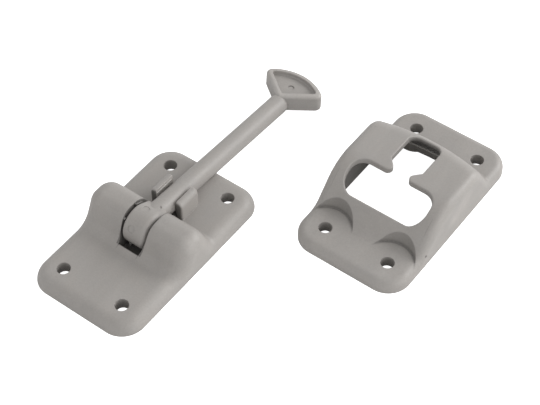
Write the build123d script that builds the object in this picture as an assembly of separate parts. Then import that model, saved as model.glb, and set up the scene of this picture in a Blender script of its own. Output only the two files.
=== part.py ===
import os
from math import acos, atan2, cos, degrees, hypot, radians, sin, tan

from build123d import *

os.makedirs("parts", exist_ok=True)

# Door holder set: a screwed-down holder with a swinging T-headed arm, and the catch that takes the T.
# Millimetres. +Z is up off the mounting face, +Y runs along the stowed arm, +X points to the catch.
# The origin is the centre of the holder's underside.

# Screw plates, the same on both halves
HOLE_PITCH_X = 28.575
HOLE_PITCH_Y = 63.5
HOLE_D = 5.4
PLATE_WIDTH = 49.4
PLATE_LENGTH = 84.0
PLATE_CORNER_R = 9.8
PLATE_T = 5.3
SIDE_MARGIN = 6.0
RIM_MARGIN = 8.0

# Where the catch lies beside the holder
CATCH_X = 67.68
CATCH_Y = 74.08

# Holder hump that carries the hinge
HUMP_RISE = 12.0
HUMP_CREST_Y = -0.8
HUMP_FOOT_R = 5.6
HUMP_FRONT_SLOPE = 64.0
HUMP_FRONT_R = 6.2
HUMP_BACK_Y = 1.3
HUMP_BACK_R = 7.0
HUMP_BACK_SLOPE = 65.0
HUMP_HEEL_R = 2.5
HOLDER_EDGE_R = 5.8
CORE_WALL = 3.0
CORE_FRONT_Y = -5.4
CORE_BACK_Y = 5.6
CORE_TOP_SKIN = 3.4
CORE_CORNER_R = 2.5
CORE_SIDE_X = 21.2

# Hinge
PIVOT_Y = -0.3
PIVOT_RISE = 3.85
HUB_R = 8.05
HUB_WIDTH = 10.3
HUB_LEFT_EDGE_R = 1.1
HUB_RIGHT_EDGE_R = 2.3
HUB_SHOULDER_S = 7.8
HUB_SHOULDER_T = 5.15
HUB_SHOULDER_R = 1.0
HUB_GAP = 0.35
EJECTOR_D = 3.0
EJECTOR_DEPTH = 0.25
EJECTOR_X = -1.2
EJECTOR_TURNS = (13.0, -62.0)
GATE_X = 1.9
GATE_S = 6.7
GATE_R = 0.65
GATE_LIFT = 0.25
PIN_D = 4.0
PIN_LENGTH = 18.0
PIN_EDGE = 0.4
PIN_RUNNING_GAP = 0.05
PIN_ACCESS_D = 4.6

# Slot for the hub
SLOT_FRONT_Y = -10.8
SLOT_FRONT_WIDTH = 9.3
SLOT_TAPER_Y = -7.4
SLOT_BACK_Y = 8.2
SLOT_EXIT_Y = 13.0
SLOT_DRAFT = 2.5

# Clip fingers that hold the stowed arm
CLIP_FRONT_Y = 12.4
CLIP_LENGTH = 10.4
CLIP_GAP = 9.8
CLIP_OFFSET_X = -0.4
CLIP_FINGER_T = 2.8
CLIP_RISE = 8.8
CLIP_CREST_R = 2.1
CLIP_NOSE_R = 1.0
CLIP_EDGE_R = 0.6

# Swinging arm
STOW_TILT = 4.8
SHAFT_D = 8.3
SHAFT_OFFSET = 2.64
SHAFT_END_S = 84.0
TROUGH_GAP = 0.35
HEAD_TIP_S = 101.7
HEAD_FRONT_R = 20.0
HEAD_FLANK_ANGLE = 37.2
HEAD_NECK_S = 86.9
HEAD_CORNER_R = 2.6
HEAD_ABOVE = 4.5
HEAD_BELOW = 3.2
HEAD_TOP_R = 1.5
HEAD_BOTTOM_R = 0.9
RIM_WIDTH = 2.3
RIM_CORNER_R = 1.0
RECESS_DEPTH = 1.7
RECESS_FLOOR_R = 0.6
HEAD_MARK_S = 93.2
HEAD_MARK_D = 2.6
HEAD_MARK_DEPTH = 0.25

# Catch hump
CATCH_RISE = 15.1
CATCH_FOOT_R = 6.0
CATCH_FRONT_SLOPE = 47.0
CATCH_FRONT_R = 20.5
CATCH_FRONT_CREST_Y = -2.5
CATCH_BACK_CREST_Y = 13.8
CATCH_BACK_BOW_R = 88.0
CATCH_BACK_R = 8.0
CATCH_BACK_SLOPE = 58.0
CATCH_HEEL_R = 2.0
CATCH_EDGE_R = 3.4
CATCH_SKIN = 2.6
CAVITY_HALF_WIDTH = 21.3
CAVITY_FRONT_Y = -18.2
CAVITY_BACK_Y = 26.0
CAVITY_LEDGE_Y = 24.8
CAVITY_BACK_R = 5.5
REAR_BOSS_R = 8.0
POCKET_R = 10.3
POCKET_DRAFT = 12.0
POCKET_HEIGHT = 14.0

# Catch opening: wide mouth, two nibs, then the slot that holds the arm's neck
MOUTH_HALF_WIDTH = 18.2
MOUTH_FRONT_Y = -17.9
MOUTH_BACK_Y = -4.45
MOUTH_CORNER_R = 6.0
NIB_R = 2.0
NIB_TIP_X = 4.0
NIB_BACK_ANGLE = 45.0
NECK_SLOT_HALF_WIDTH = 7.1
NECK_SLOT_FRONT_Y = 1.7
NECK_SLOT_BACK_Y = 17.0
NECK_SLOT_R = 4.0
OPENING_EDGE_R = 0.5


def front_outline(crest_y, crest_r, slope, foot_r, rise):
    """Side outline of everything behind the front slope, open to the rear, in the YZ plane."""
    turn = radians(slope)
    top = PLATE_T + rise
    run = (rise - (foot_r + crest_r) * (1 - cos(turn))) / sin(turn)
    with BuildSketch(Plane.YZ) as outline:
        with BuildLine():
            shoulder = JernArc((crest_y, top), (-1, 0), crest_r, slope)
            fall = Line(shoulder @ 1, shoulder @ 1 + (shoulder % 1) * run)
            foot = JernArc(fall @ 1, fall % 1, foot_r, -slope)
            Polyline(
                foot @ 1,
                (-PLATE_LENGTH, PLATE_T),
                (-PLATE_LENGTH, -RIM_MARGIN),
                (PLATE_LENGTH, -RIM_MARGIN),
                (PLATE_LENGTH, top),
                (crest_y, top),
            )
        make_face()
    return outline.sketch


def back_outline(crest_y, crest_r, slope, heel_r, rise, start_y):
    """Side outline of everything ahead of the back slope, from start_y rearwards, in the YZ plane."""
    turn = radians(slope)
    top = PLATE_T + rise
    run = (rise - (heel_r + crest_r) * (1 - cos(turn))) / sin(turn)
    with BuildSketch(Plane.YZ) as outline:
        with BuildLine():
            roll = JernArc((crest_y, top), (1, 0), crest_r, -slope)
            fall = Line(roll @ 1, roll @ 1 + (roll % 1) * run)
            heel = JernArc(fall @ 1, fall % 1, heel_r, slope)
            Polyline(
                heel @ 1,
                (PLATE_LENGTH, PLATE_T),
                (PLATE_LENGTH, -RIM_MARGIN),
                (start_y, -RIM_MARGIN),
                (start_y, top),
                (crest_y, top),
            )
        make_face()
    return outline.sketch


def trimmed_plate(body, edge_r):
    """The body trimmed to the rounded plan, with its rim rounded and its underside cut flat."""
    height = PLATE_T + CATCH_RISE + SIDE_MARGIN
    outline = RectangleRounded(PLATE_WIDTH, PLATE_LENGTH, PLATE_CORNER_R)
    body = body & extrude(outline, height + RIM_MARGIN, both=True)
    rim = body.edges().filter_by(lambda edge: on_rim(edge))
    body = fillet(rim, edge_r)
    return body & extrude(Rectangle(2 * PLATE_WIDTH, 2 * PLATE_LENGTH), height)


def on_rim(edge):
    """True for the edges between the top surfaces and the upright sides."""
    middle = edge.center()
    low = middle.Z < PLATE_T / 2
    beside = abs(middle.X) > PLATE_WIDTH / 4
    at_end = abs(middle.Y) > PLATE_LENGTH / 2 - PLATE_CORNER_R
    return not low and (beside or at_end)


def screw_holes():
    """Four plain holes for the mounting screws."""
    spots = GridLocations(HOLE_PITCH_X, HOLE_PITCH_Y, 2, 2)
    return spots * Cylinder(HOLE_D / 2, 4 * PLATE_T)


# Holder
hump_front = front_outline(HUMP_CREST_Y, HUMP_FRONT_R, HUMP_FRONT_SLOPE, HUMP_FOOT_R, HUMP_RISE)
hump_back = back_outline(HUMP_BACK_Y, HUMP_BACK_R, HUMP_BACK_SLOPE, HUMP_HEEL_R, HUMP_RISE, -PLATE_LENGTH)
holder = extrude(hump_front, PLATE_WIDTH, both=True) & extrude(hump_back, PLATE_WIDTH, both=True)
holder = trimmed_plate(holder, HOLDER_EDGE_R)

# The slot is a blind pocket, a little narrower where it runs out at the foot of the hump.
slot_half = HUB_WIDTH / 2 + HUB_GAP
pivot_z = PLATE_T + PIVOT_RISE
slot_floor_z = pivot_z - HUB_R - HUB_GAP
slot_plan = Polygon(
    (-SLOT_FRONT_WIDTH / 2, SLOT_FRONT_Y),
    (SLOT_FRONT_WIDTH / 2, SLOT_FRONT_Y),
    (slot_half, SLOT_TAPER_Y),
    (slot_half, SLOT_BACK_Y),
    (-slot_half, SLOT_BACK_Y),
    (-slot_half, SLOT_TAPER_Y),
    align=None,
)
slot = Pos(0, 0, slot_floor_z) * extrude(slot_plan, 2 * HUMP_RISE, taper=-SLOT_DRAFT)
exit_half = slot_half + (PLATE_T - slot_floor_z) * tan(radians(SLOT_DRAFT))
exit_plan = Pos(0, (SLOT_EXIT_Y + PIVOT_Y) / 2) * Rectangle(2 * exit_half, SLOT_EXIT_Y - PIVOT_Y)
slot_exit = Pos(0, 0, PLATE_T) * extrude(exit_plan, 2 * HUMP_RISE, taper=-SLOT_DRAFT)
holder -= slot + slot_exit

# The hump is cored from below on each side of the slot.
core_inner = slot_half + CORE_WALL
core_width = CORE_SIDE_X - core_inner
core_height = PLATE_T + HUMP_RISE - CORE_TOP_SKIN
core = Box(core_width, CORE_BACK_Y - CORE_FRONT_Y, core_height, align=(Align.CENTER, Align.CENTER, Align.MIN))
core = fillet(core.edges().filter_by(Axis.X).group_by(Axis.Z)[-1], CORE_CORNER_R)
core_y = (CORE_BACK_Y + CORE_FRONT_Y) / 2
core_x = core_inner + core_width / 2
holder -= Pos(core_x, core_y, 0) * core
holder -= Pos(-core_x, core_y, 0) * core

# Clip fingers stand on the plate behind the hump.
finger_height = CLIP_RISE + PLATE_T / 2
finger = Box(CLIP_FINGER_T, CLIP_LENGTH, finger_height)
crest_edge = finger.edges().filter_by(Axis.Y).group_by(Axis.Z)[-1].sort_by(Axis.X)[-1]
finger = fillet(crest_edge, CLIP_CREST_R)
nose_edges = finger.faces().sort_by(Axis.Y)[0].edges().sort_by(Axis.Z)[1:].sort_by(Axis.X)[1:]
finger = fillet(nose_edges, CLIP_NOSE_R)
finger = fillet(finger.faces().sort_by(Axis.Y)[-1].edges().group_by(Axis.Z)[-1], CLIP_EDGE_R)
finger_x = CLIP_OFFSET_X + CLIP_GAP / 2 + CLIP_FINGER_T / 2
finger_y = CLIP_FRONT_Y + CLIP_LENGTH / 2
finger_z = PLATE_T + CLIP_RISE - finger_height / 2
right_finger = Pos(finger_x, finger_y, finger_z) * finger
holder += right_finger
holder += mirror(right_finger, Plane.YZ.offset(CLIP_OFFSET_X))

# A shallow trough lets the stowed shaft sink into the rear of the plate.
trough_length = PLATE_LENGTH
trough = Rot(-90, 0, 0) * Cylinder(
    SHAFT_D / 2 + TROUGH_GAP, trough_length, align=(Align.CENTER, Align.CENTER, Align.MIN)
)
stowed = Pos(0, PIVOT_Y, pivot_z) * Rot(-STOW_TILT, 0, 0)
trough_start = CLIP_FRONT_Y - PIVOT_Y
holder -= stowed * (Pos(0, trough_start, SHAFT_OFFSET) * trough)

# Pin bore: a tight hole in the slot's cheeks, reached through a larger one in the left end.
pin_axis = Pos(0, PIVOT_Y, pivot_z) * Rot(0, 90, 0)
holder -= pin_axis * Cylinder(PIN_D / 2, 2 * core_x)
access_length = PLATE_WIDTH / 2 - core_x
access = Cylinder(PIN_ACCESS_D / 2, access_length)
holder -= Pos(-core_x - access_length / 2, PIVOT_Y, pivot_z) * Rot(0, 90, 0) * access
holder -= screw_holes()

# Hinge pin
hinge_pin = pin_axis * Cylinder(PIN_D / 2, PIN_LENGTH)
hinge_pin = chamfer(hinge_pin.edges().filter_by(GeomType.CIRCLE), PIN_EDGE)

# Arm, drawn straight in its own frame with the pivot at the origin
shoulder_reach = hypot(HUB_SHOULDER_S, HUB_SHOULDER_T)
shoulder_angle = degrees(atan2(HUB_SHOULDER_T, HUB_SHOULDER_S))
touch_angle = degrees(acos(HUB_R / shoulder_reach))
upper_touch = radians(shoulder_angle + touch_angle)
lower_touch = radians(shoulder_angle - touch_angle)
hub_side = Plane.YZ * (
    Circle(HUB_R)
    + Polygon(
        (0, 0),
        (HUB_R * cos(lower_touch), HUB_R * sin(lower_touch)),
        (HUB_SHOULDER_S, HUB_SHOULDER_T),
        (HUB_R * cos(upper_touch), HUB_R * sin(upper_touch)),
        align=None,
    )
)
hub = extrude(hub_side, HUB_WIDTH / 2, both=True)
long_edges = hub.edges().filter_by(Axis.X)
shoulder_edge = long_edges.sort_by(lambda edge: hypot(edge.center().Y, edge.center().Z))[-1]
hub = fillet(shoulder_edge, HUB_SHOULDER_R)
hub = fillet(hub.faces().filter_by(Axis.X).sort_by(Axis.X)[0].edges(), HUB_LEFT_EDGE_R)
hub = fillet(hub.faces().filter_by(Axis.X).sort_by(Axis.X)[-1].edges(), HUB_RIGHT_EDGE_R)

# Ejector pins left two flat rounds on the hub.
for turn in EJECTOR_TURNS:
    round_mark = Cylinder(EJECTOR_D / 2, HUB_R, align=(Align.CENTER, Align.CENTER, Align.MIN))
    hub -= Rot(-turn, 0, 0) * Pos(EJECTOR_X, 0, HUB_R - EJECTOR_DEPTH) * round_mark

shaft = Pos(0, 0, SHAFT_OFFSET) * Rot(-90, 0, 0) * Cylinder(
    SHAFT_D / 2, SHAFT_END_S, align=(Align.CENTER, Align.CENTER, Align.MIN)
)
dome = Pos(0, SHAFT_END_S, SHAFT_OFFSET) * Sphere(SHAFT_D / 2)


def fan(inset, corner_r):
    """Plan of the T head: two straight flanks from the neck and a bowed front edge."""
    slope = tan(radians(HEAD_FLANK_ANGLE))
    centre_s = HEAD_TIP_S - HEAD_FRONT_R
    apex_s = HEAD_NECK_S - slope * SHAFT_D / 2 + inset / cos(radians(HEAD_FLANK_ANGLE))
    bow_r = HEAD_FRONT_R - inset
    gap = apex_s - centre_s
    grade = 1 + slope**2
    reach = (-slope * gap + (slope**2 * gap**2 - grade * (gap**2 - bow_r**2)) ** 0.5) / grade
    corner_s = apex_s + slope * reach
    with BuildSketch() as plan:
        with BuildLine():
            Line((0, apex_s), (reach, corner_s))
            ThreePointArc((reach, corner_s), (0, centre_s + bow_r), (-reach, corner_s))
            Line((-reach, corner_s), (0, apex_s))
        make_face()
        tips = plan.vertices().group_by(Axis.Y)[-1]
        fillet(tips, corner_r)
    return plan.sketch


head_base = SHAFT_OFFSET - HEAD_BELOW
head = Pos(0, 0, head_base) * extrude(fan(0, HEAD_CORNER_R), HEAD_BELOW + HEAD_ABOVE)
head = fillet(head.faces().sort_by(Axis.Z)[-1].edges(), HEAD_TOP_R)
head = fillet(head.faces().sort_by(Axis.Z)[0].edges(), HEAD_BOTTOM_R)
recess_z = SHAFT_OFFSET + HEAD_ABOVE - RECESS_DEPTH
recess = Pos(0, 0, recess_z) * extrude(fan(RIM_WIDTH, RIM_CORNER_R), 2 * RECESS_DEPTH)
recess = fillet(recess.faces().sort_by(Axis.Z)[0].edges(), RECESS_FLOOR_R)
head -= recess
mark = Pos(0, HEAD_MARK_S, recess_z) * Cylinder(HEAD_MARK_D / 2, 2 * HEAD_MARK_DEPTH)
head -= mark
arm = hub + shaft + dome + head

# The gate left a dimple on the root of the shaft.
gate_t = SHAFT_OFFSET + ((SHAFT_D / 2) ** 2 - GATE_X**2) ** 0.5
arm -= Pos(GATE_X, GATE_S, gate_t + GATE_LIFT) * Sphere(GATE_R)
arm -= Rot(0, 90, 0) * Cylinder(PIN_D / 2 + PIN_RUNNING_GAP, 2 * HUB_WIDTH)
arm = stowed * arm

# Catch
catch_front = front_outline(CATCH_FRONT_CREST_Y, CATCH_FRONT_R, CATCH_FRONT_SLOPE, CATCH_FOOT_R, CATCH_RISE)
bow_y = CATCH_BACK_CREST_Y + CATCH_BACK_R - CATCH_BACK_BOW_R
catch_back = back_outline(CATCH_BACK_CREST_Y, CATCH_BACK_R, CATCH_BACK_SLOPE, CATCH_HEEL_R, CATCH_RISE, bow_y)
# The back of the hump bows out in plan, so it is turned about a far upright axis.
bow_axis = Axis((0, bow_y, 0), (0, 0, 1))
bowed = revolve(catch_back, bow_axis, 360)
catch = trimmed_plate(extrude(catch_front, PLATE_WIDTH, both=True) & bowed, CATCH_EDGE_R)

# The shell is hollow below, with an even skin under the front slope and the crest.
cavity_top = PLATE_T + CATCH_RISE - CATCH_SKIN
inner_front_r = CATCH_FRONT_R - CATCH_SKIN
front_turn = radians(CATCH_FRONT_SLOPE)
back_turn = radians(CATCH_BACK_SLOPE)
inner_front_y = CATCH_FRONT_CREST_Y - inner_front_r * sin(front_turn)
inner_front_z = cavity_top - inner_front_r * (1 - cos(front_turn))
inner_foot_z = inner_front_z - (inner_front_y - CAVITY_FRONT_Y) * tan(front_turn)
inner_back_drop = cavity_top - PLATE_T - CAVITY_BACK_R * (1 - cos(back_turn))
inner_back_y = CAVITY_LEDGE_Y - CAVITY_BACK_R * sin(back_turn) - inner_back_drop / tan(back_turn)
with BuildSketch(Plane.YZ) as cavity_front:
    with BuildLine():
        Line((CAVITY_FRONT_Y, inner_foot_z), (inner_front_y, inner_front_z))
        crown = JernArc(
            (inner_front_y, inner_front_z),
            (cos(front_turn), sin(front_turn)),
            inner_front_r,
            -CATCH_FRONT_SLOPE,
        )
        Polyline(
            crown @ 1,
            (CAVITY_BACK_Y, cavity_top),
            (CAVITY_BACK_Y, 0),
            (CAVITY_FRONT_Y, 0),
            (CAVITY_FRONT_Y, inner_foot_z),
        )
    make_face()
with BuildSketch(Plane.YZ) as cavity_back:
    with BuildLine():
        turn = JernArc((inner_back_y, cavity_top), (1, 0), CAVITY_BACK_R, -CATCH_BACK_SLOPE)
        Polyline(
            turn @ 1,
            (CAVITY_LEDGE_Y, PLATE_T),
            (CAVITY_BACK_Y, 0),
            (bow_y, 0),
            (bow_y, cavity_top),
            (inner_back_y, cavity_top),
        )
    make_face()
# The hollow bows out at the back with the shell.
cavity = extrude(cavity_front.sketch, CAVITY_HALF_WIDTH, both=True)
cavity &= revolve(cavity_back.sketch, bow_axis, 360)
boss_x = HOLE_PITCH_X / 2
boss_y = HOLE_PITCH_Y / 2
for side in (-1, 1):
    cavity -= Pos(side * boss_x, boss_y, 0) * Cylinder(REAR_BOSS_R, 2 * PLATE_T)
catch -= cavity

# Mouth, nibs and neck slot are cut straight through the crown.
mouth_depth = MOUTH_BACK_Y - MOUTH_FRONT_Y
mouth_y = (MOUTH_BACK_Y + MOUTH_FRONT_Y) / 2
nib_x = NIB_TIP_X + NIB_R
nib_y = MOUTH_BACK_Y + NIB_R
opening_plan = Pos(0, mouth_y) * RectangleRounded(2 * MOUTH_HALF_WIDTH, mouth_depth, MOUTH_CORNER_R)
neck_length = NECK_SLOT_BACK_Y - MOUTH_BACK_Y + MOUTH_CORNER_R
neck = Rectangle(2 * NECK_SLOT_HALF_WIDTH, neck_length)
neck = fillet(neck.vertices().group_by(Axis.Y)[-1], NECK_SLOT_R)
opening_plan += Pos(0, NECK_SLOT_BACK_Y - neck_length / 2) * neck
for side in (-1, 1):
    nib = Pos(side * nib_x, nib_y) * Circle(NIB_R)
    nib += Polygon(
        (side * nib_x, nib_y - NIB_R),
        (side * (NECK_SLOT_HALF_WIDTH + NIB_R), nib_y - NIB_R),
        (side * (NECK_SLOT_HALF_WIDTH + NIB_R), NECK_SLOT_FRONT_Y + NIB_R),
        (side * NECK_SLOT_HALF_WIDTH, NECK_SLOT_FRONT_Y),
        (side * (nib_x - NIB_R * sin(radians(NIB_BACK_ANGLE))), nib_y + NIB_R * cos(radians(NIB_BACK_ANGLE))),
        align=None,
    )
    opening_plan -= nib
opening = extrude(opening_plan, 4 * CATCH_RISE, both=True)
shell = catch
catch = shell - opening
cut_edges = new_edges(shell, opening, combined=catch)
outer_edges = cut_edges.filter_by(lambda edge: edge.distance_to(cavity) > CATCH_SKIN / 2)
catch = fillet(outer_edges, OPENING_EDGE_R)

# Drafted pockets clear the front screw heads where they meet the slope.
pocket_top_r = POCKET_R + POCKET_HEIGHT * tan(radians(POCKET_DRAFT))
pocket = Cone(POCKET_R, pocket_top_r, POCKET_HEIGHT, align=(Align.CENTER, Align.CENTER, Align.MIN))
for side in (-1, 1):
    catch -= Pos(side * boss_x, -boss_y, PLATE_T) * pocket
catch -= screw_holes()
catch = Pos(CATCH_X, CATCH_Y, 0) * catch

export_step(holder, "parts/holder_base.step")
export_step(arm, "parts/t_arm.step")
export_step(hinge_pin, "parts/hinge_pin.step")
export_step(catch, "parts/catch_plate.step")
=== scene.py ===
# %% [markdown]
# # A T-style door holder
# The set is a screwed-down holder with a swinging T-headed arm, and a hollow catch plate that grips the
# arm. Both are injection mouldings in one warm grey plastic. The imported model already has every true
# shape, so this lesson gives the mouldings their finish, adds the small traces that a mould leaves, and
# lights the set.

from math import cos, radians, sin

import bmesh
import bpy
from mathutils import Matrix, Vector


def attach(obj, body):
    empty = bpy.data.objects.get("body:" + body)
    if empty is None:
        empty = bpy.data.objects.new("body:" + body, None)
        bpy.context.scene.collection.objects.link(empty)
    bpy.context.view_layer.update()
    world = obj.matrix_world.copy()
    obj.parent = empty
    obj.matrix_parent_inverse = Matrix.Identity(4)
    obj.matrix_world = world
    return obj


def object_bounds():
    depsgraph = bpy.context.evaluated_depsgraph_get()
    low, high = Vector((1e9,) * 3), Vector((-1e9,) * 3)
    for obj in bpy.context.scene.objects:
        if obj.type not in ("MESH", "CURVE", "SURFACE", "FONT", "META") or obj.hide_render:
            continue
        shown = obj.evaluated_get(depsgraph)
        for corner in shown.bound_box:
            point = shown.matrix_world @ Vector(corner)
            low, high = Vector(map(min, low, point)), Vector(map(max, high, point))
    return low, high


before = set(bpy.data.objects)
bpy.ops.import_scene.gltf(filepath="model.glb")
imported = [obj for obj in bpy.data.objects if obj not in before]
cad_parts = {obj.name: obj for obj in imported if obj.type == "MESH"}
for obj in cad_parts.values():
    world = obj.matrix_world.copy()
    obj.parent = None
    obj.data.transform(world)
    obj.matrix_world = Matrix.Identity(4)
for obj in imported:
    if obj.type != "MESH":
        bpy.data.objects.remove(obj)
cad_low, cad_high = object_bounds()
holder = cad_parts["holder_base"]
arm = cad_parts["t_arm"]
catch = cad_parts["catch_plate"]
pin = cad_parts["hinge_pin"]
MM = 0.001
print("nodes", sorted(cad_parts), "size in mm", [round(v / MM, 1) for v in cad_high - cad_low])

# %% [markdown]
# ## Colours and nodes
# Colours are picked as the hex values that a paint card or a screen shows, but the shader works in
# linear light, so one function turns them. A second function adds a node, fills its inputs and gives
# back an output for the next node to use, which keeps each material readable as a list of steps.

# %% Two helpers for every material


def linear(hex_colour):
    """A hex colour as linear red, green, blue and alpha."""
    values = [int(hex_colour[i:i + 2], 16) / 255 for i in (1, 3, 5)]
    return [v / 12.92 if v <= 0.04045 else ((v + 0.055) / 1.055) ** 2.4 for v in values] + [1.0]


def step(tree, kind, inputs=(), out=0, **settings):
    """Adds a node and gives back one of its outputs. Its inputs come in order or by name, and each is a
    value or another node's output. Settings are its properties."""
    node = tree.nodes.new("ShaderNode" + kind)
    for name, value in settings.items():
        setattr(node, name, value)
    named = inputs.items() if isinstance(inputs, dict) else enumerate(inputs)
    for name, value in named:
        if isinstance(value, bpy.types.NodeSocket):
            tree.links.new(value, node.inputs[name])
        else:
            node.inputs[name].default_value = value
    return node.outputs[out] if node.outputs else None


print("the plastic's grey in linear light", [round(v, 3) for v in linear("#a09b96")])

# %% [markdown]
# ## Masks and tones
# A mark on a moulding is painted in two moves. A mask is one inside the mark and zero outside it, and
# it is made from how far a place lies from a face, a line or a point. A tone then makes the masked
# place darker or paler. It could be painted by hand on an unwrapped mesh, but a mask in millimetres
# stays where it is put and needs no picture.

# %% Helpers for masks and tones
SOFT_MM = 0.05


def together(tree, *factors):
    """Masks or tones multiplied, so that every one of them has its say."""
    product = factors[0]
    for factor in factors[1:]:
        product = step(tree, "Math", (product, factor), operation="MULTIPLY")
    return product


def zone(tree, value, low, high, soft=SOFT_MM):
    """A mask that is one where a value lies between low and high, with a soft edge outside."""
    above = step(tree, "MapRange", (value, low - soft, low))
    return together(tree, above, step(tree, "MapRange", (value, high + soft, high)))


def toned(tree, mask, tone):
    """The tone where the mask is one, and no change where it is zero."""
    return step(tree, "MapRange", (mask, 0.0, 1.0, 1.0, tone))


def away(tree, value, centre):
    """How far a value lies from a centre, to either side."""
    gap = step(tree, "Math", (value, centre), operation="SUBTRACT")
    return step(tree, "Math", (gap,), operation="ABSOLUTE")


def axes_in_mm(tree, place):
    """The place in millimetres as a vector, and its three coordinates."""
    where = step(tree, "VectorMath", {0: place, "Scale": 1 / MM}, operation="SCALE")
    x, y, z = step(tree, "SeparateXYZ", (where,)).node.outputs
    return where, x, y, z


print("masks fade out over", SOFT_MM, "mm unless told otherwise")

# %% [markdown]
# ## Moulded plastic, fine texture
# The mouldings are a tough filled plastic such as nylon or ABS. The mould's steel was finished with a
# fine spark texture, so the skin is satin: it has a broad soft sheen and no sharp reflections. Where
# the melt flowed together the grey is slightly cloudy, and handling rubs the sharp edges a little
# lighter. A flat grey would look like clay. The cloud, the grain and the rubbed edge are what the eye
# reads as plastic, so the material is built from these three.

# %% The plastic's recipe
GREY = ("#a09b96", "#9c9996")
RUBBED_GREY = "#b2afaa"
ROUGHNESS = (0.42, 0.50)
CLOUD_MM = 9.0
STREAK_MM = 13.0
STREAK_TONES = (0.925, 1.075)
# The spark finish has a grain of about 0.1 mm. It is drawn coarser, so that it shows.
MOULD_GRAIN_MM = 0.1
GRAIN_MM = 0.65
GRAIN_TONES = (0.93, 1.07)
GRAIN_DEPTH_MM = 0.05
MARK_DEPTH_MM = 0.15
EDGE_MM = 0.5
EDGE_COSINES = (0.99, 0.80)
EDGE_RUB = 0.35


def moulded_plastic(name, seed, flow_turn, marks, greys=GREY, rubbed_grey=RUBBED_GREY):
    """Satin moulded plastic. Seed shifts the patterns, flow_turn turns the melt's streaks in plan, marks
    gives how dark and how pale the piece's own marks, painted shade and painted light are, and the last
    two are its colours."""
    material = bpy.data.materials.new(name)
    material.use_nodes = True
    tree = material.node_tree
    tree.nodes.clear()
    place = step(tree, "TexCoord", out="Object")
    shift = (seed * 0.31, seed * 0.17, seed * 0.23)
    moved = step(tree, "Mapping", {"Vector": place, "Location": shift})
    cloud_look = {"Scale": 1 / (CLOUD_MM * MM), "Detail": 3.0, "Roughness": 0.55}
    cloud = step(tree, "TexNoise", {"Vector": moved, **cloud_look})
    flow_look = {"Rotation": (0, 0, flow_turn), "Scale": (1.0, 0.3, 1.0)}
    along = step(tree, "Mapping", {"Vector": moved, **flow_look})
    streak_look = {"Scale": 1 / (STREAK_MM * MM), "Detail": 4.0, "Roughness": 0.6, "Distortion": 0.4}
    streak = step(tree, "TexNoise", {"Vector": along, **streak_look})
    grain_look = {"Scale": 1 / (GRAIN_MM * MM), "Detail": 2.0, "Roughness": 0.6}
    grain = step(tree, "TexNoise", {"Vector": moved, **grain_look})
    hues = {"Factor": cloud, "A": linear(greys[0]), "B": linear(greys[1])}
    hue = step(tree, "Mix", hues, out="Result", data_type="RGBA")
    flow = step(tree, "MapRange", (streak, 0.25, 0.75, *STREAK_TONES))
    speckle = step(tree, "MapRange", (grain, 0.2, 0.8, *GRAIN_TONES))
    # The dark factor carries painted shade and shadow as well as true marks, and it also drives the bump
    # below. The pale factor carries painted light and paler tones.
    dark, pale = marks(tree, place)
    level = together(tree, flow, speckle, dark, pale)
    shaded = step(tree, "VectorMath", {0: hue, "Scale": level}, operation="SCALE")
    # Near an edge the rounded normal leaves the true one, and that difference marks the rubbed rim.
    rounded = step(tree, "Bevel", {"Radius": EDGE_MM * MM}, samples=4)
    true_normal = step(tree, "NewGeometry", out="Normal")
    same = step(tree, "VectorMath", (rounded, true_normal), out="Value", operation="DOT_PRODUCT")
    rim = step(tree, "MapRange", (same, *EDGE_COSINES, 0.0, EDGE_RUB))
    patches = {"Factor": rim, "A": shaded, "B": linear(rubbed_grey)}
    rubbed = step(tree, "Mix", patches, out="Result", data_type="RGBA")
    gloss = step(tree, "MapRange", (cloud, 0.3, 0.7, *ROUGHNESS))
    grain_relief = {"Strength": 0.12, "Distance": GRAIN_DEPTH_MM * MM}
    skin = step(tree, "Bump", {"Height": grain, "Normal": rounded, **grain_relief})
    mark_relief = {"Strength": 0.6, "Distance": MARK_DEPTH_MM * MM}
    relief = step(tree, "Bump", {"Height": dark, "Normal": skin, **mark_relief})
    finish = {"Base Color": rubbed, "Roughness": gloss, "IOR": 1.5, "Normal": relief}
    step(tree, "OutputMaterial", (step(tree, "BsdfPrincipled", finish),))
    return material


print("the grain is drawn", round(GRAIN_MM / MOULD_GRAIN_MM, 1), "times as coarse as on the mould")

# %% [markdown]
# ## Marks of the holder
# Two short creases run on from the slot's front corners, and they are painted shade. Painted shade also
# darkens the slot, the front ends of the two clip fingers and the walls of the screw holes of both
# plates, and painted light brightens the fingers' inner faces. The marks could be thin pieces of their
# own, but none of them has a thickness that shows, so they are painted and the imported solids stay as
# they are.

# %% Painted shade in the screw holes
SCREW_PITCH = (28.575, 63.5)
SCREW_HOLE_R = 2.7
SCREW_SHADE_REACH = 0.1
# Painted shade darkens the walls of the screw holes.
SCREW_SHADE_TONE = 0.87


def screw_hole_shade(tree, x, y, centre):
    """Painted shade on the walls of a plate's four screw holes."""
    across = away(tree, away(tree, x, centre[0]), SCREW_PITCH[0] / 2)
    along = away(tree, away(tree, y, centre[1]), SCREW_PITCH[1] / 2)
    flat = step(tree, "CombineXYZ", (across, along))
    from_axis = step(tree, "VectorMath", (flat,), out="Value", operation="LENGTH")
    fade = (SCREW_HOLE_R, SCREW_HOLE_R + SCREW_SHADE_REACH)
    return step(tree, "MapRange", (from_axis, *fade, SCREW_SHADE_TONE, 1.0))


print("dust on the walls of holes", 2 * SCREW_HOLE_R, "mm across")

# %% Marks on the clip
PLATE_MM = 5.3
# A mark on a face reaches a little to either side of it, so that the face surely lies inside.
REACH = 0.1
CLIP_X = -0.4
CLIP_SIDES = (4.9, 7.7)
CLIP_Y = (12.4, 22.8)
NOSE_Z = (PLATE_MM, 5.8)
NOSE_SOFT = 0.35
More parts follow.
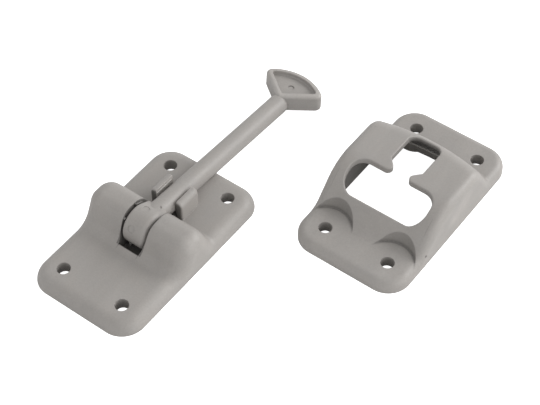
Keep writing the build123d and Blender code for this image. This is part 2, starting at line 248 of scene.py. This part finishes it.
# Painted shade darkens the fingers' front ends.
NOSE_SHADE_TONE = 0.4
SNAP_START = 0.4
SNAP_Z = (8.5, 10.5)
# Painted light brightens the fingers' inner faces.
SNAP_LIGHT_TONE = 1.35


def clip_marks(tree, x, y, z):
    """Painted shade on the fingers' front ends, and painted light on their inner faces."""
    side = away(tree, x, CLIP_X)
    inner, outer = CLIP_SIDES
    front, back = CLIP_Y
    both_fingers = zone(tree, side, inner - REACH, outer + REACH)
    near_front = zone(tree, y, front - 2 * REACH, front + REACH, NOSE_SOFT)
    # This mask is painted shade on the fingers' front ends.
    nose_shade = together(tree, both_fingers, near_front, step(tree, "MapRange", (z, *NOSE_Z)))
    inner_faces = zone(tree, side, inner - REACH, inner + REACH)
    behind_nose = zone(tree, y, front + SNAP_START, back)
    # This mask is painted light on the fingers' inner faces.
    inner_light = together(tree, inner_faces, behind_nose, step(tree, "MapRange", (z, *SNAP_Z)))
    return toned(tree, nose_shade, NOSE_SHADE_TONE), toned(tree, inner_light, SNAP_LIGHT_TONE)


print("fingers", round(CLIP_SIDES[1] - CLIP_SIDES[0], 2), "mm thick,", 2 * CLIP_SIDES[0], "mm apart")

# %% Marks of the holder
CREASE_X = 4.7
CREASE_HALF_WIDTH = 0.28
CREASE_START_Y = (-13.4, -10.9)
CREASE_STOP_Y = (-10.3, -10.4)
# Painted shade darkens the two creases.
CREASE_SHADE_TONE = 0.45
SLOT_HALF_WIDTH = 5.5
SLOT_Y = (-11.0, 11.0)
SLOT_SOFT = 0.3
SLOT_LEAN = 0.044
# Painted shade darkens the slot.
SLOT_SHADE_TONE = 0.45


def holder_marks(tree, place):
    """How dark the holder's painted shade makes it, and how pale its painted light."""
    where, x, y, z = axes_in_mm(tree, place)
    side = away(tree, x, 0.0)
    # Two short creases at the slot's front corners, painted as shade.
    line = step(tree, "MapRange", (away(tree, side, CREASE_X), CREASE_HALF_WIDTH, 0.0))
    start = step(tree, "MapRange", (y, *CREASE_START_Y))
    stop = step(tree, "MapRange", (y, *CREASE_STOP_Y))
    crease = toned(tree, together(tree, line, start, stop), CREASE_SHADE_TONE)
    # The slot is filled with painted shade.
    # The slot's cheeks lean outwards with the mould's draft, so its half width grows with height.
    at_foot = step(tree, "Math", (z, -SLOT_LEAN, side), operation="MULTIPLY_ADD")
    in_slot = zone(tree, at_foot, -SLOT_HALF_WIDTH, SLOT_HALF_WIDTH)
    slot_shade = toned(tree, together(tree, in_slot, zone(tree, y, *SLOT_Y, SLOT_SOFT)), SLOT_SHADE_TONE)
    nose_shade, inner_light = clip_marks(tree, x, y, z)
    return together(tree, crease, nose_shade, screw_hole_shade(tree, x, y, (0.0, 0.0)), slot_shade), inner_light


print("the slot's film reaches", SLOT_HALF_WIDTH, "mm to either side of the middle")

# %% [markdown]
# ## Marks of the arm
# The head's rim is paler near its top. The round mould mark in its sunk top has a step, and a painted
# shadow darkens its ring on one side. The rim could have a material of its own, but it is still the same
# plastic with the same grain, so a paler tone is enough, and a darker one paints the step's shadow.

# %% Marks of the arm
HEAD_Y = (85.6, 95.6)
HEAD_TOP_Z = (9.1, 8.26)
HEAD_START_Y = (84.0, 86.0)
HEAD_RIM_DEPTHS = (-1.3, -0.4)
# The head's rim is drawn paler near its top.
HEAD_TONE = 1.2
ROUND_MARK = (0.0, 93.0, 6.55)
ROUND_MARK_R = 1.3
ROUND_MARK_EDGE = (0.3, 0.1)
# The painted shadow of the mark's step lies on the side that this way points to.
ROUND_MARK_SHADOW_WAY = (-0.6, 0.8, 0.0)
ROUND_MARK_FADE = (0.0, 0.7)
ROUND_MARK_SHADOW_TONE = 0.55


def arm_marks(tree, place):
    """How dark the painted shadow of the round mark makes the arm, and how pale the head's rim is."""
    where, x, y, z = axes_in_mm(tree, place)
    # The stowed arm slopes down towards its head, and so does the head's top.
    top = step(tree, "MapRange", (y, *HEAD_Y, *HEAD_TOP_Z))
    above_top = step(tree, "Math", (z, top), operation="SUBTRACT")
    near_top = step(tree, "MapRange", (above_top, *HEAD_RIM_DEPTHS))
    rim = together(tree, near_top, step(tree, "MapRange", (y, *HEAD_START_Y)))
    # A painted shadow darkens the round mark's ring on one side.
    from_mark = step(tree, "VectorMath", (where, ROUND_MARK), out="Value", operation="DISTANCE")
    edge = step(tree, "MapRange", (away(tree, from_mark, ROUND_MARK_R), *ROUND_MARK_EDGE))
    aside = step(tree, "VectorMath", (where, ROUND_MARK), operation="SUBTRACT")
    dark_way = (aside, ROUND_MARK_SHADOW_WAY)
    dark_mm = step(tree, "VectorMath", dark_way, out="Value", operation="DOT_PRODUCT")
    shadow = together(tree, edge, step(tree, "MapRange", (dark_mm, *ROUND_MARK_FADE)))
    return toned(tree, shadow, ROUND_MARK_SHADOW_TONE), toned(tree, rim, HEAD_TONE)


print("the head's round mark is", 2 * ROUND_MARK_R, "mm across")

# %% [markdown]
# ## Marks of the catch
# Painted shade darkens the walls of the two scooped pockets, most at their foot, and the walls of the
# screw holes. More painted shade darkens the hollow, where little light gets in, its back wall above the
# ledge, and the end of the neck slot. The right side has two paler patches and one small dark speck of
# burnt plastic. The catch is one moulding and so one mesh. Its faces could be picked out by hand for
# other materials, but a mask for each mark is easier to move, so each has its own function, and the
# last one brings them together.

# %% Painted shade in the pockets
CATCH_X = 67.68
CATCH_Y = 74.08
POCKET_MM = 10.3
POCKET_LEAN = 0.213
POCKET_FADE_IN = (POCKET_MM - 0.9, POCKET_MM)
POCKET_FADE_OUT = (POCKET_MM + 0.15, POCKET_MM + 0.05)
POCKET_Y = (45.5, 49.5)
# Painted shade darkens the pockets' walls, and more at their foot.
POCKET_SHADE_TONE = 0.74
POCKET_FOOT_MM = 1.6
POCKET_FOOT_SHADE_TONE = 0.6


def pocket_shade(tree, x, y, z):
    """Painted shade on the walls of the two pockets, darker at their foot."""
    across = away(tree, away(tree, x, CATCH_X), SCREW_PITCH[0] / 2)
    along = away(tree, y, CATCH_Y - SCREW_PITCH[1] / 2)
    flat = step(tree, "CombineXYZ", (across, along))
    from_axis = step(tree, "VectorMath", (flat,), out="Value", operation="LENGTH")
    height = step(tree, "Math", (z, PLATE_MM), operation="SUBTRACT")
    # The pocket widens with the mould's draft, so a place is moved in by what the wall leans out.
    at_foot = step(tree, "Math", (height, -POCKET_LEAN, from_axis), operation="MULTIPLY_ADD")
    fade_in = step(tree, "MapRange", (at_foot, *POCKET_FADE_IN))
    fade_out = step(tree, "MapRange", (at_foot, *POCKET_FADE_OUT))
    wall = together(tree, fade_in, step(tree, "MapRange", (y, *POCKET_Y)), fade_out)
    foot = together(tree, wall, step(tree, "MapRange", (height, POCKET_FOOT_MM, 0.0)))
    return together(tree, toned(tree, wall, POCKET_SHADE_TONE), toned(tree, foot, POCKET_FOOT_SHADE_TONE))


print("the pockets are", 2 * POCKET_MM, "mm across at the foot")

# %% Painted shade on the walls of the hollow
HOLLOW_HALF_WIDTH = 21.3
HOLLOW_Y = (55.5, 100.3)
HOLLOW_TOP_MM = 17.6
HOLLOW_TURN_Y = (88.0, 94.0)
# Painted shade darkens the hollow, less towards its back.
HOLLOW_SHADE_TONES = (0.72, 0.95)


def hollow_shade(tree, x, y, z):
    """Painted shade on the walls of the hollow: all of them below the plate's top, and the two sides up to
    the crown.
    """
    side = away(tree, x, CATCH_X)
    below_plate = zone(tree, z, 0.0, PLATE_MM - REACH)
    low = together(tree, zone(tree, side, 0.0, HOLLOW_HALF_WIDTH), below_plate)
    side_faces = zone(tree, side, HOLLOW_HALF_WIDTH - REACH, HOLLOW_HALF_WIDTH)
    high = together(tree, side_faces, zone(tree, z, 0.0, HOLLOW_TOP_MM))
    either = step(tree, "Math", (low, high), operation="MAXIMUM")
    inside = together(tree, either, zone(tree, y, *HOLLOW_Y))
    # The back wall faces the light that comes in by the mouth, so it gets less painted shade than the
    # sides.
    tone = step(tree, "MapRange", (y, *HOLLOW_TURN_Y, *HOLLOW_SHADE_TONES))
    return step(tree, "Mix", {"Factor": inside, "A": 1.0, "B": tone}, out="Result")


print("the hollow is", 2 * HOLLOW_HALF_WIDTH, "mm wide inside")

# %% Painted shade at the back of the hollow
BOW_Y = 7.88
LEDGE_R = 90.3
LEDGE_Z = 6.5
LEDGE_HALF_HEIGHT = 0.2
BACK_LEAN = 0.625
BACK_DEPTHS = (LEDGE_R - 3.0, LEDGE_R + 0.8)
BACK_TOP_Z = 17.2
BACK_START_Y = (86.0, 88.0)
BACK_HALF_WIDTH = 14.0
BACK_SOFT = 0.5
# Painted shade darkens the back wall.
BACK_SHADE_TONE = 0.33


def back_shade(tree, x, y, z):
    """Painted shade on the back wall above the ledge. It bows about an upright axis and leans forwards as
    it rises.
    """
    flat = step(tree, "CombineXYZ", (x, y))
    bow_centre = (CATCH_X, BOW_Y, 0)
    bow = step(tree, "VectorMath", (flat, bow_centre), out="Value", operation="DISTANCE")
    above_ledge = step(tree, "Math", (z, LEDGE_Z), operation="SUBTRACT")
    at_ledge = step(tree, "Math", (above_ledge, BACK_LEAN, bow), operation="MULTIPLY_ADD")
    depth = zone(tree, at_ledge, *BACK_DEPTHS)
    height = zone(tree, z, LEDGE_Z + LEDGE_HALF_HEIGHT, BACK_TOP_Z)
    behind = step(tree, "MapRange", (y, *BACK_START_Y))
    width = zone(tree, away(tree, x, CATCH_X), 0.0, BACK_HALF_WIDTH, BACK_SOFT)
    return toned(tree, together(tree, depth, height, behind, width), BACK_SHADE_TONE)


print("the ledge bows with a radius of", LEDGE_R, "mm")

# %% Painted shade in the neck slot
NECK_HALF_WIDTH = 7.1
NECK_Y = (88.5, 91.2)
NECK_SOFT = 0.5
NECK_Z = (19.2, 17.6)
# Painted shade darkens the end of the neck slot.
NECK_SHADE_TONE = 0.35


def neck_shade(tree, x, y, z):
    """Painted shade on the end of the neck slot, darker towards its lower edge."""
    width = zone(tree, away(tree, x, CATCH_X), 0.0, NECK_HALF_WIDTH)
    length = zone(tree, y, *NECK_Y, NECK_SOFT)
    height = step(tree, "MapRange", (z, *NECK_Z))
    return toned(tree, together(tree, width, length, height), NECK_SHADE_TONE)


print("the film is", 2 * NECK_HALF_WIDTH, "mm wide")

# %% Marks of the catch
# Two paler patches on the right side, made patchy by a noise.
PALE_PLACES = ((92.4, 72.5, 9.6), (92.4, 79.4, 12.6))
PALE_R = (6.0, 1.2)
# The noise of the pale patches is drawn out upwards.
PALE_STRETCH = (0.6, 0.5, 0.2)
PALE_PATCH = (0.4, 1.0)
PALE_TONE = 1.15
SPECK = (92.3, 52.8, 6.0)
SPECK_R = (0.225, 0.75)
SPECK_TONE = 0.3


def catch_marks(tree, place):
    """How dark the catch's painted shade and speck make it, and how pale its patches are."""
    where, x, y, z = axes_in_mm(tree, place)
    stretched_place = step(tree, "Mapping", {"Vector": where, "Scale": PALE_STRETCH})
    patches = step(tree, "TexNoise", {"Vector": stretched_place, "Scale": 1.0, "Detail": 3.0, "Roughness": 0.6})
    patchy = step(tree, "MapRange", (patches, 0.35, 0.6, *PALE_PATCH))
    pale = 1.0
    for centre in PALE_PLACES:
        from_patch = step(tree, "VectorMath", (where, centre), out="Value", operation="DISTANCE")
        patch = together(tree, step(tree, "MapRange", (from_patch, *PALE_R)), patchy)
        pale = together(tree, pale, toned(tree, patch, PALE_TONE))
    from_speck = step(tree, "VectorMath", (where, SPECK), out="Value", operation="DISTANCE")
    burnt = step(tree, "MapRange", (from_speck, *SPECK_R, SPECK_TONE, 1.0))
    # Painted shade in the screw holes and the pockets, and on the hollow's walls.
    hole_shade = together(tree, screw_hole_shade(tree, x, y, (CATCH_X, CATCH_Y)), pocket_shade(tree, x, y, z))
    hollow = together(tree, hollow_shade(tree, x, y, z), back_shade(tree, x, y, z))
    return together(tree, burnt, hole_shade, hollow, neck_shade(tree, x, y, z)), pale


print(len(PALE_PLACES), "rubs and a speck", 2 * SPECK_R[1], "mm across")

# %% [markdown]
# ## One plastic, three mouldings
# The three mouldings are the same plastic from three moulds. One shared material would do for the
# colour, but its clouds and streaks would run on from piece to piece as if they were one. So each
# moulding gets its own copy, with its own seed, its own way of flow and its own marks.

# %% Give each moulding its plastic
recipes = ((holder, 1, 0.2, holder_marks), (arm, 2, 0.0, arm_marks), (catch, 3, -0.25, catch_marks))
for node, seed, turn, marks in recipes:
    grey_plastic = moulded_plastic("moulded_plastic_fine_texture_" + node.name, seed, turn, marks)
    node.data.materials.clear()
    node.data.materials.append(grey_plastic)
    faces = node.data.polygons
    print(node.name, "has", len(faces), "triangles, smooth:", faces[0].use_smooth)

# %% [markdown]
# ## Drawn steel
# The pin is a short length of bright drawn steel wire with its ends chamfered. Drawing leaves fine
# lines along its length. A plain metal would look like chrome, so the roughness is a noise that is
# stretched along the pin's axis. The lines tell the eye that the bar was drawn and not turned, which
# would leave rings.

# %% The pin's steel
LINE_MM = 0.25
DRAWN_OUT = (0.04, 1.0, 1.0)
STEEL = ("#b4b3b0", "#cbcac7")
STEEL_ROUGHNESS = (0.24, 0.38)


def drawn_steel(name):
    """Bright drawn steel with lines along X."""
    material = bpy.data.materials.new(name)
    material.use_nodes = True
    tree = material.node_tree
    tree.nodes.clear()
    place = step(tree, "TexCoord", out="Object")
    along = step(tree, "Mapping", {"Vector": place, "Scale": DRAWN_OUT})
    line_look = {"Scale": 1 / (LINE_MM * MM), "Detail": 3.0, "Roughness": 0.6}
    lines = step(tree, "TexNoise", {"Vector": along, **line_look})
    tints = {"Factor": lines, "A": linear(STEEL[0]), "B": linear(STEEL[1])}
    tint = step(tree, "Mix", tints, out="Result", data_type="RGBA")
    gloss = step(tree, "MapRange", (lines, 0.3, 0.7, *STEEL_ROUGHNESS))
    finish = {"Base Color": tint, "Metallic": 1.0, "Roughness": gloss}
    step(tree, "OutputMaterial", (step(tree, "BsdfPrincipled", finish),))
    return material


pin.data.materials.clear()
pin.data.materials.append(drawn_steel("drawn_steel_bright"))

# %% [markdown]
# ## Flash
# Where the parts of a mould meet, a little plastic squeezes out as flash. Thin strips of it are left on
# the slot's left cheek beside the hub, and along the ledge inside the catch, which shows through the
# neck slot. A strip could be a bevelled curve, but flash has a flat section. So it is a small rectangle
# that is spun round an axis: the hinge's, so that the strip follows the hub and never touches it, or
# the upright one that the catch's back bows about.

# %% Finish a piece
FLASH_EDGE_MM = 0.08


def soften(form, edges):
    """Bevels edges by the small radius that flash keeps."""
    width = FLASH_EDGE_MM * MM
    bmesh.ops.bevel(
        form, geom=edges, offset=width, segments=2, affect="EDGES", profile=0.5, material=-1
    )


def dress(form, name, body, plastic):
    """Turns a finished form into a piece that rides on a body and has the given plastic."""
    bmesh.ops.recalc_face_normals(form, faces=form.faces)
    open_edges = [edge for edge in form.edges if len(edge.link_faces) != 2]
    print(name, len(form.faces), "faces,", len(open_edges), "open edges")
    mesh = bpy.data.meshes.new(name)
    form.to_mesh(mesh)
    form.free()
    mesh.materials.append(plastic)
    piece = bpy.data.objects.new(name, mesh)
    bpy.context.scene.collection.objects.link(piece)
    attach(piece, body)
    return piece


print("flash keeps an edge radius of", FLASH_EDGE_MM, "mm")

# %% Plastics of the flash
# Plastic that was bent and torn turns nearly white.
TORN = ("#dedbd6", "#eceae6")


def no_marks(tree, place):
    """No darker and no paler anywhere."""
    return 1.0, 1.0


torn = moulded_plastic("moulded_plastic_torn", 4, 0.0, no_marks, TORN, TORN[1])
plain = holder.data.materials[0]
print("flash is made of", plain.name, "and", torn.name)

# %% Strips of flash
PIVOT = Vector((0, -0.3, 9.15)) * MM
BOW_CENTRE = Vector((CATCH_X, BOW_Y, 0)) * MM
FLASH_STEP = radians(3)
SHARP = radians(40)
# A strip is spun round X from the top. The second matrix puts X upright and the start at the back.
ROUND_HINGE = Matrix.Identity(3)
ROUND_BOW = Matrix(((0, 1, 0), (0, 0, 1), (1, 0, 0)))


def flash(name, along_mm, r_mm, turns, centre, axis_turn, plastic):
    """A strip between two places along the axis, two radii and two turns."""
    form = bmesh.new()
    bmesh.ops.create_grid(form, x_segments=1, y_segments=1, size=0.5)
    width = along_mm[1] - along_mm[0]
    depth = r_mm[1] - r_mm[0]
    bmesh.ops.scale(form, vec=(width * MM, depth * MM, 1), verts=form.verts)
    bmesh.ops.rotate(form, matrix=Matrix.Rotation(radians(90), 3, "X"), verts=form.verts)
    bmesh.ops.translate(form, vec=(sum(along_mm) / 2 * MM, 0, sum(r_mm) / 2 * MM), verts=form.verts)
    bmesh.ops.rotate(form, matrix=Matrix.Rotation(radians(turns[0]), 3, "X"), verts=form.verts)
    sweep = radians(turns[1] - turns[0])
    steps = max(2, round(sweep / FLASH_STEP))
    section = form.verts[:] + form.edges[:] + form.faces[:]
    bmesh.ops.spin(form, geom=section, cent=(0, 0, 0), axis=(1, 0, 0), angle=sweep, steps=steps)
    bmesh.ops.rotate(form, matrix=axis_turn, verts=form.verts)
    bmesh.ops.translate(form, vec=centre, verts=form.verts)
    soften(form, [edge for edge in form.edges if edge.calc_face_angle(0) > SHARP])
    return dress(form, name, "holder", plastic)


flash("flash_low", (-6.5, -5.27), (7.3, 7.85), (37, 44), PIVOT, ROUND_HINGE, plain)
flash("flash_high", (-5.88, -5.27), (7.35, 8.0), (-42, -14), PIVOT, ROUND_HINGE, plain)
flash("flash_high_root_front", (-6.5, -5.8), (7.4, 7.9), (-17, -13), PIVOT, ROUND_HINGE, plain)
flash("flash_high_root_back", (-6.5, -5.8), (7.4, 7.9), (-42, -38), PIVOT, ROUND_HINGE, plain)
ledge_z = (LEDGE_Z - LEDGE_HALF_HEIGHT, LEDGE_Z + LEDGE_HALF_HEIGHT)
ledge_r = (LEDGE_R - 0.75, LEDGE_R + 0.3)
flash("flash_ledge", ledge_z, ledge_r, (-9, 9), BOW_CENTRE, ROUND_BOW, torn)

# %% [markdown]
# ## Torn flash
# Two bits of flash on the holder were torn when the moulding left the mould, and turned white. One is a
# straight line along the left finger of the clip. It has no curve to follow, so it isn't spun but is a
# stretched cube with its edges softened. The other is a stub that stands on the slot's floor below the
# hub, and a stretched ball gives it its rounded end. It ends lower than the hub and the shaft can
# reach, so it stays clear when the arm swings.

# %% Line on the clip
CLIP_FLASH_MM = (0.28, 8.6, 0.3)
CLIP_FLASH_AT = Vector((-5.28, 17.6, 12.35)) * MM
form = bmesh.new()
bmesh.ops.create_cube(form, size=1.0)
bmesh.ops.scale(form, vec=Vector(CLIP_FLASH_MM) * MM, verts=form.verts)
soften(form, form.edges[:])
bmesh.ops.translate(form, vec=CLIP_FLASH_AT, verts=form.verts)
dress(form, "flash_clip", "holder", torn)
face_x = CLIP_X - CLIP_SIDES[0]
proud_mm = CLIP_FLASH_AT.x / MM + CLIP_FLASH_MM[0] / 2 - face_x
print("it stands", round(proud_mm, 2), "mm proud of the finger")

# %% Stub in the slot
HUB_R = 8.05
STUB_R = 0.5
STUB_HALF_LENGTH = 1.15
STUB_AT = Vector((-3.65, -5.8, 1.8)) * MM
form = bmesh.new()
bmesh.ops.create_icosphere(form, subdivisions=3, radius=STUB_R * MM)
bmesh.ops.scale(form, vec=(1, 1, STUB_HALF_LENGTH / STUB_R), verts=form.verts)
bmesh.ops.translate(form, vec=STUB_AT, verts=form.verts)
stub = dress(form, "flash_stub", "holder", torn)
stub.data.shade_smooth()
hub_above = PIVOT.z - ((HUB_R * MM) ** 2 - (STUB_AT.y - PIVOT.y) ** 2) ** 0.5
print("the stub ends", round((hub_above - STUB_AT.z) / MM - STUB_HALF_LENGTH, 2), "mm below the hub")

# %% [markdown]
# ## Floor
# The set lies on a plain white table, as for a catalogue picture. The table has to look pure white, but
# a paper bright enough for that would throw too much light up at the plastic. So its colour is that of
# real paper, and it glows for the camera alone.

# %% Floor
FLOOR_M = 6.0
form = bmesh.new()
bmesh.ops.create_grid(form, x_segments=1, y_segments=1, size=FLOOR_M / 2)
floor_mesh = bpy.data.meshes.new("floor")
form.to_mesh(floor_mesh)
form.free()
floor = bpy.data.objects.new("floor", floor_mesh)
bpy.context.scene.collection.objects.link(floor)
white = bpy.data.materials.new("white_studio_table")
white.use_nodes = True
table = white.node_tree
table.nodes.clear()
seen = step(table, "LightPath", out="Is Camera Ray")
paper = {"Base Color": linear("#efefef"), "Roughness": 0.9}
shine = {"Emission Color": (1, 1, 1, 1), "Emission Strength": seen}
step(table, "OutputMaterial", (step(table, "BsdfPrincipled", {**paper, **shine}),))
floor_mesh.materials.append(white)
print("floor", FLOOR_M, "m square")

# %% [markdown]
# ## Light
# A small satin product is lit in a white tent, which gives even, nearly shadowless light. The tent's
# walls could be meshes that glow, but the world's colour does the same and stands in no one's way. Two
# soft panels, a large one behind and to the right and a weak one at the right, brighten the faces that
# look that way and give the mouldings their form.

# %% Light
WALL_GLOW = 0.86
TOP_GLOW = 0.56
PANEL_M = 0.6
BACK_RIGHT = Vector((0.55, 0.85, 0.55))
BACK_RIGHT_W = 7.0
RIGHT = Vector((1.0, -0.1, 0.35))
RIGHT_W = 2.0
world = bpy.data.worlds.new("white_surround")
bpy.context.scene.world = world
world.use_nodes = True
tent = world.node_tree
tent.nodes.clear()
look = step(tent, "TexCoord", out="Generated")
# The tent's top is open for the camera, so it is darker overhead than at the sides.
height = step(tent, "SeparateXYZ", (look,), out="Z")
glow = step(tent, "MapRange", (together(tent, height, height), 0.0, 1.0, WALL_GLOW, TOP_GLOW))
step(tent, "OutputWorld", (step(tent, "Background", {"Color": (1, 1, 1, 1), "Strength": glow}),))


def soft_panel(name, place, aim, watts):
    """A square soft light at place, facing aim."""
    lamp = bpy.data.lights.new(name, "AREA")
    lamp.shape = "SQUARE"
    lamp.size = PANEL_M
    lamp.energy = watts
    panel = bpy.data.objects.new(name, lamp)
    bpy.context.scene.collection.objects.link(panel)
    panel.location = place
    panel.rotation_euler = (aim - place).to_track_quat("-Z", "Y").to_euler()
    return panel


middle = (cad_low + cad_high) / 2
soft_panel("back_right_panel", middle + BACK_RIGHT, middle, BACK_RIGHT_W)
soft_panel("right_panel", middle + RIGHT, middle, RIGHT_W)
bpy.context.scene.view_settings.view_transform = "Standard"
print("two panels", PANEL_M, "m square and a white surround")

# %% [markdown]
# ## Camera
# The camera stands where the photograph was taken from: 50 degrees up, 37 degrees round to the right
# and about 0.6 m away. It could be placed by eye, but these values were found by fitting the screw
# holes and the straight edges of both plates, so the focal length is given in the photograph's own
# pixels.

# %% Camera
PHOTO_WIDTH_PX = 540
FOCAL_PX = 1532.8
AZIMUTH = radians(37.312)
ELEVATION = radians(50.329)
ROLL = radians(-0.798)
DISTANCE = 593.93 * MM
AIM = Vector((28.98, 39.69, 5.40)) * MM
SENSOR_MM = 36.0
NEAR_M = 0.05
FAR_M = 20

back = Vector((sin(AZIMUTH) * cos(ELEVATION), -cos(AZIMUTH) * cos(ELEVATION), sin(ELEVATION)))
level = Vector((cos(AZIMUTH), sin(AZIMUTH), 0))
upright = back.cross(level)
right = level * cos(ROLL) + upright * sin(ROLL)
up = upright * cos(ROLL) - level * sin(ROLL)
lens = bpy.data.cameras.new("photo_camera")
lens.sensor_fit = "HORIZONTAL"
lens.sensor_width = SENSOR_MM
lens.lens = FOCAL_PX / PHOTO_WIDTH_PX * SENSOR_MM
lens.clip_start = NEAR_M
lens.clip_end = FAR_M
camera = bpy.data.objects.new("photo_camera", lens)
bpy.context.scene.collection.objects.link(camera)
facing = Matrix((right, up, back)).transposed().to_4x4()
camera.matrix_world = Matrix.Translation(AIM + back * DISTANCE) @ facing
bpy.context.scene.camera = camera
print("lens in mm", round(lens.lens, 2), "camera at", [round(v / MM, 1) for v in camera.location])
